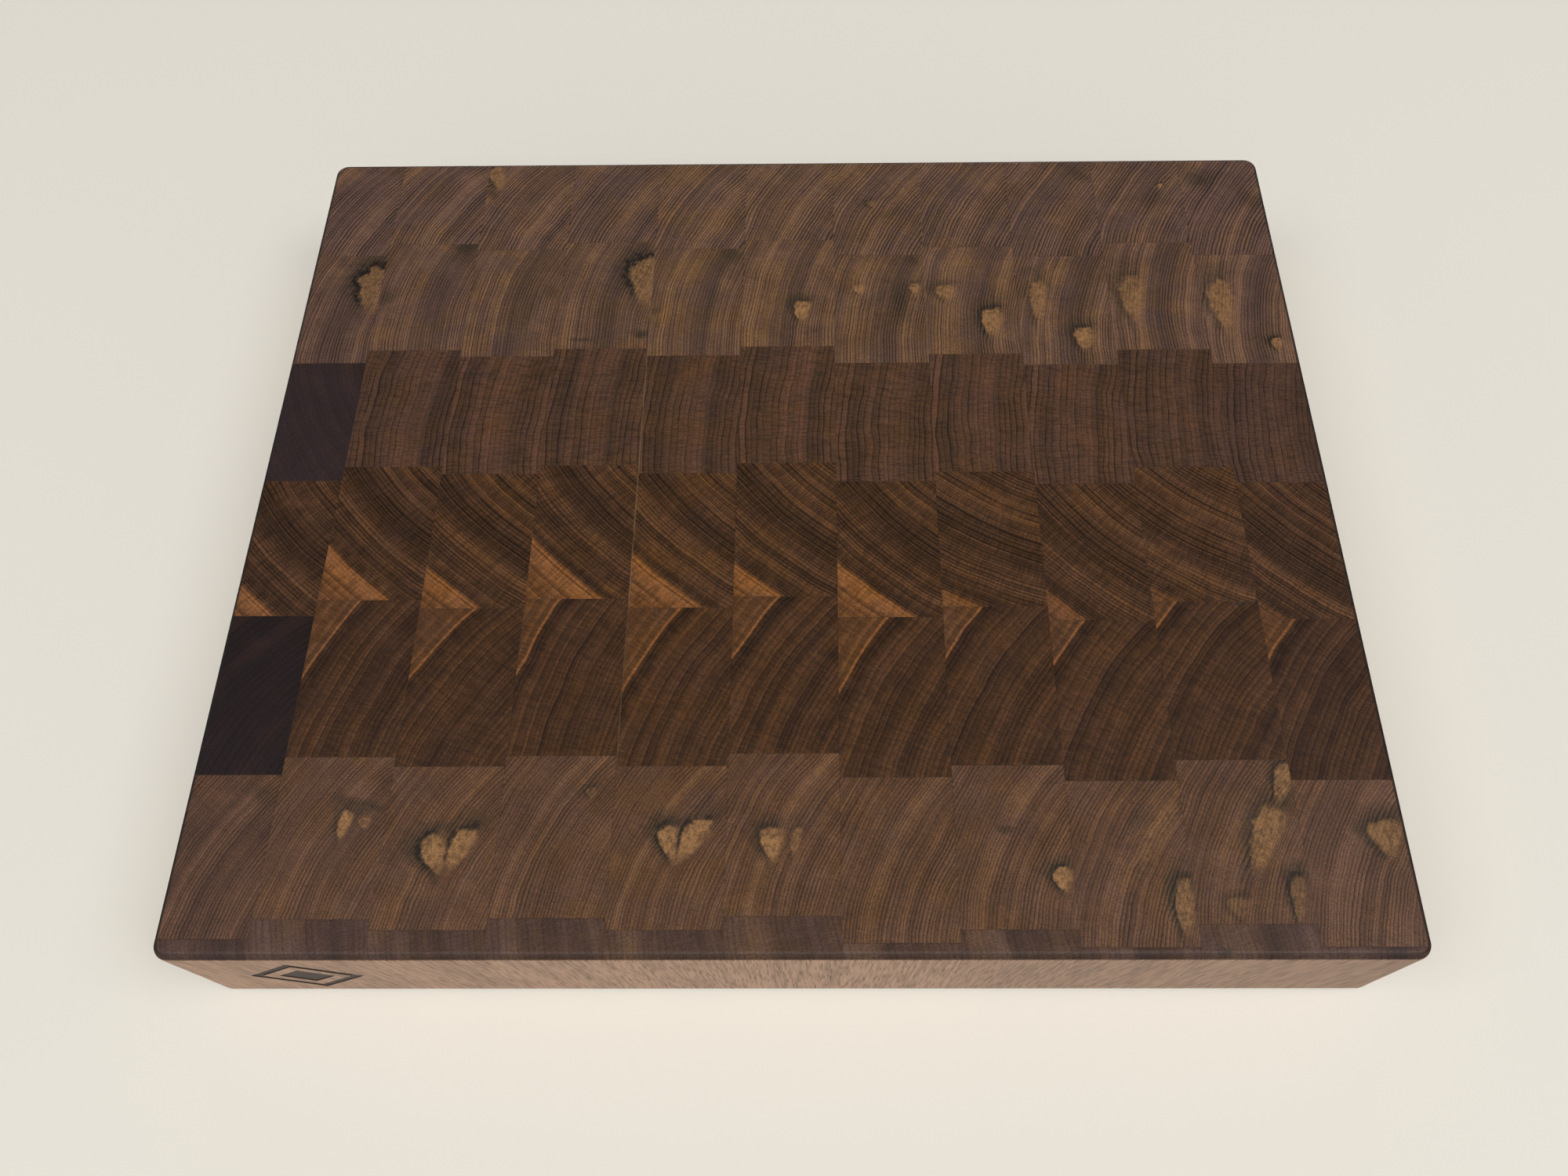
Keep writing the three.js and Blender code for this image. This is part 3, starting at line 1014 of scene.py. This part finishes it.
def walnut(block, groups):
    """The material of one block."""
    key = (block.slice, block.strip)
    wood = BLACK_BLOCKS.get(key, WOODS[block.strip])
    shuffle = random.Random(block.strip * 100 + block.slice)
    material = bpy.data.materials.new(block.name)
    material.use_nodes = True
    tree = material.node_tree

    if id(wood) not in groups:
        groups[id(wood)] = wood_group(wood, f"wood_{block.strip}_{block.slice}")
    node = tree.nodes.new("ShaderNodeGroup")
    node.node_tree = groups[id(wood)]
    for name, value in block_settings(block, wood, shuffle).items():
        node.inputs[name].default_value = value

    board = Field(tree, tree.nodes.new("ShaderNodeTexCoord").outputs["Object"])
    x, y = block.centre
    place = scaled(board, (1 / MM,) * 3, (-x, -y, block.slice * SLICE_LENGTH))
    plug(place, node.inputs["Place"])
    for name, mask in all_knot_masks(KNOTS.get(key, []), place).items():
        plug(mask, node.inputs[name])

    shader = tree.nodes["Principled BSDF"]
    tree.links.new(node.outputs["Colour"], shader.inputs["Base Color"])
    tree.links.new(node.outputs["Roughness"], shader.inputs["Roughness"])
    shader.inputs["Specular IOR Level"].default_value = OIL_SPECULAR
    bump = tree.nodes.new("ShaderNodeBump")
    bump.inputs["Strength"].default_value = BUMP_STRENGTH
    bump.inputs["Distance"].default_value = BUMP_DEPTH * MM
    tree.links.new(node.outputs["Height"], bump.inputs["Height"])
    tree.links.new(bump.outputs["Normal"], shader.inputs["Normal"])
    return material


def is_marked(block):
    return block.strip == STRIPS and block.slice in MARKED_SLICES


def slot_of(block):
    """The record's material slot of the CAD node that the block stands for."""
    node = node_name(block.slice, block.strip)
    subparts = frame["record"]["subparts"]
    return next(subpart["material_slot"] for subpart in subparts if subpart["node"] == node)


def make_board():
    """Every block of the board, as a piece of its own."""
    blocks = block_layout()
    groups = {}
    materials = [walnut(block, groups) for block in blocks]
    pieces = [add_object(block.name, block_mesh(block)) for block in blocks]
    for piece, material in zip(pieces, materials):
        piece.data.materials.append(material)
    cutter = brand([piece for block, piece in zip(blocks, pieces) if is_marked(block)])
    smooth_rounded_edges(pieces)
    bpy.data.objects.remove(cutter)
    for block, piece in zip(blocks, pieces):
        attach(piece, "root")
        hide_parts(node_name(block.slice, block.strip))
        slot_of(block)


# --------------------------------------------------------------------------------------------------
# The stage.

CAMERA_PLACE = (11.2, -293.9, 522.3)  # millimetres, from the middle of the underside
CAMERA_DOWN = math.radians(63.309)
CAMERA_TURN = math.radians(1.317)
CAMERA_ROLL = math.radians(-1.385)
SENSOR_WIDTH = 36.0
CAMERA_LENS = 27.942
CAMERA_SHIFT = (-0.0135, 0.0201)
FLOOR_REACH = 4.0  # metres, as the lamps are
FLOOR_COLOUR = srgb(232, 228, 218)
ROOM_LIGHT = (0.85, 0.85, 0.84)
ROOM_DARK = (0.03, 0.03, 0.035)


def add_camera():
    """The camera, looking down on the board from the front."""
    data = bpy.data.cameras.new("camera")
    data.sensor_width = SENSOR_WIDTH
    data.lens = CAMERA_LENS
    data.shift_x, data.shift_y = CAMERA_SHIFT
    data.clip_start = 0.01
    camera = add_object("camera", data)
    turn = Matrix.Rotation(CAMERA_TURN, 4, "Z")
    tilt = Matrix.Rotation(math.pi / 2 - CAMERA_DOWN, 4, "X")
    roll = Matrix.Rotation(CAMERA_ROLL, 4, "Z")
    place = Matrix.Translation(Vector(CAMERA_PLACE) * MM)
    camera.matrix_world = place @ turn @ tilt @ roll
    bpy.context.scene.camera = camera


def add_floor():
    """A plain pale floor."""
    reach = FLOOR_REACH
    corners = [(-reach, -reach, 0), (reach, -reach, 0), (reach, reach, 0), (-reach, reach, 0)]
    mesh = bpy.data.meshes.new("floor")
    mesh.from_pydata(corners, [], [(0, 1, 2, 3)])
    floor = add_object("floor", mesh)
    material = bpy.data.materials.new("floor")
    material.use_nodes = True
    shader = material.node_tree.nodes["Principled BSDF"]
    shader.inputs["Base Color"].default_value = (*FLOOR_COLOUR, 1.0)
    shader.inputs["Roughness"].default_value = 0.7
    shader.inputs["Specular IOR Level"].default_value = 0.2
    mesh.materials.append(material)


def add_softbox(name, place, size, watts, colour=(1, 1, 1)):
    """A large square lamp that faces the board."""
    data = bpy.data.lights.new(name, "AREA")
    data.size = size
    data.energy = watts
    data.color = colour
    lamp = add_object(name, data)
    lamp.location = place
    lamp.rotation_euler = (-Vector(place)).to_track_quat("-Z", "Y").to_euler()


def add_room_light():
    """An even room, darker straight above, so that the oiled face keeps its colour."""
    world = bpy.data.worlds.new("room")
    bpy.context.scene.world = world
    world.use_nodes = True
    tree = world.node_tree
    direction = Field(tree, tree.nodes.new("ShaderNodeTexCoord").outputs["Generated"])
    _, depth, height = direction.parts()
    shade = (height * 1.6 + depth * 0.5).rise(0.0, 1.0)
    light = blend(shade, ROOM_LIGHT, ROOM_DARK)
    background = tree.nodes["Background"]
    plug(light, background.inputs["Color"])
    background.inputs["Strength"].default_value = 0.8


make_board()
add_camera()
add_floor()
add_room_light()
add_softbox("key_softbox", (0.0, -3.2, 5.4), 4.2, 225, (1.0, 0.98, 0.95))
add_softbox("left_softbox", (-3.8, -1.4, 5.6), 3.2, 96)
add_softbox("right_softbox", (3.8, -1.2, 5.6), 3.2, 148)
add_softbox("rear_softbox", (0.0, 4.0, 1.2), 2.4, 14)
bpy.context.scene.view_settings.view_transform = "Standard"
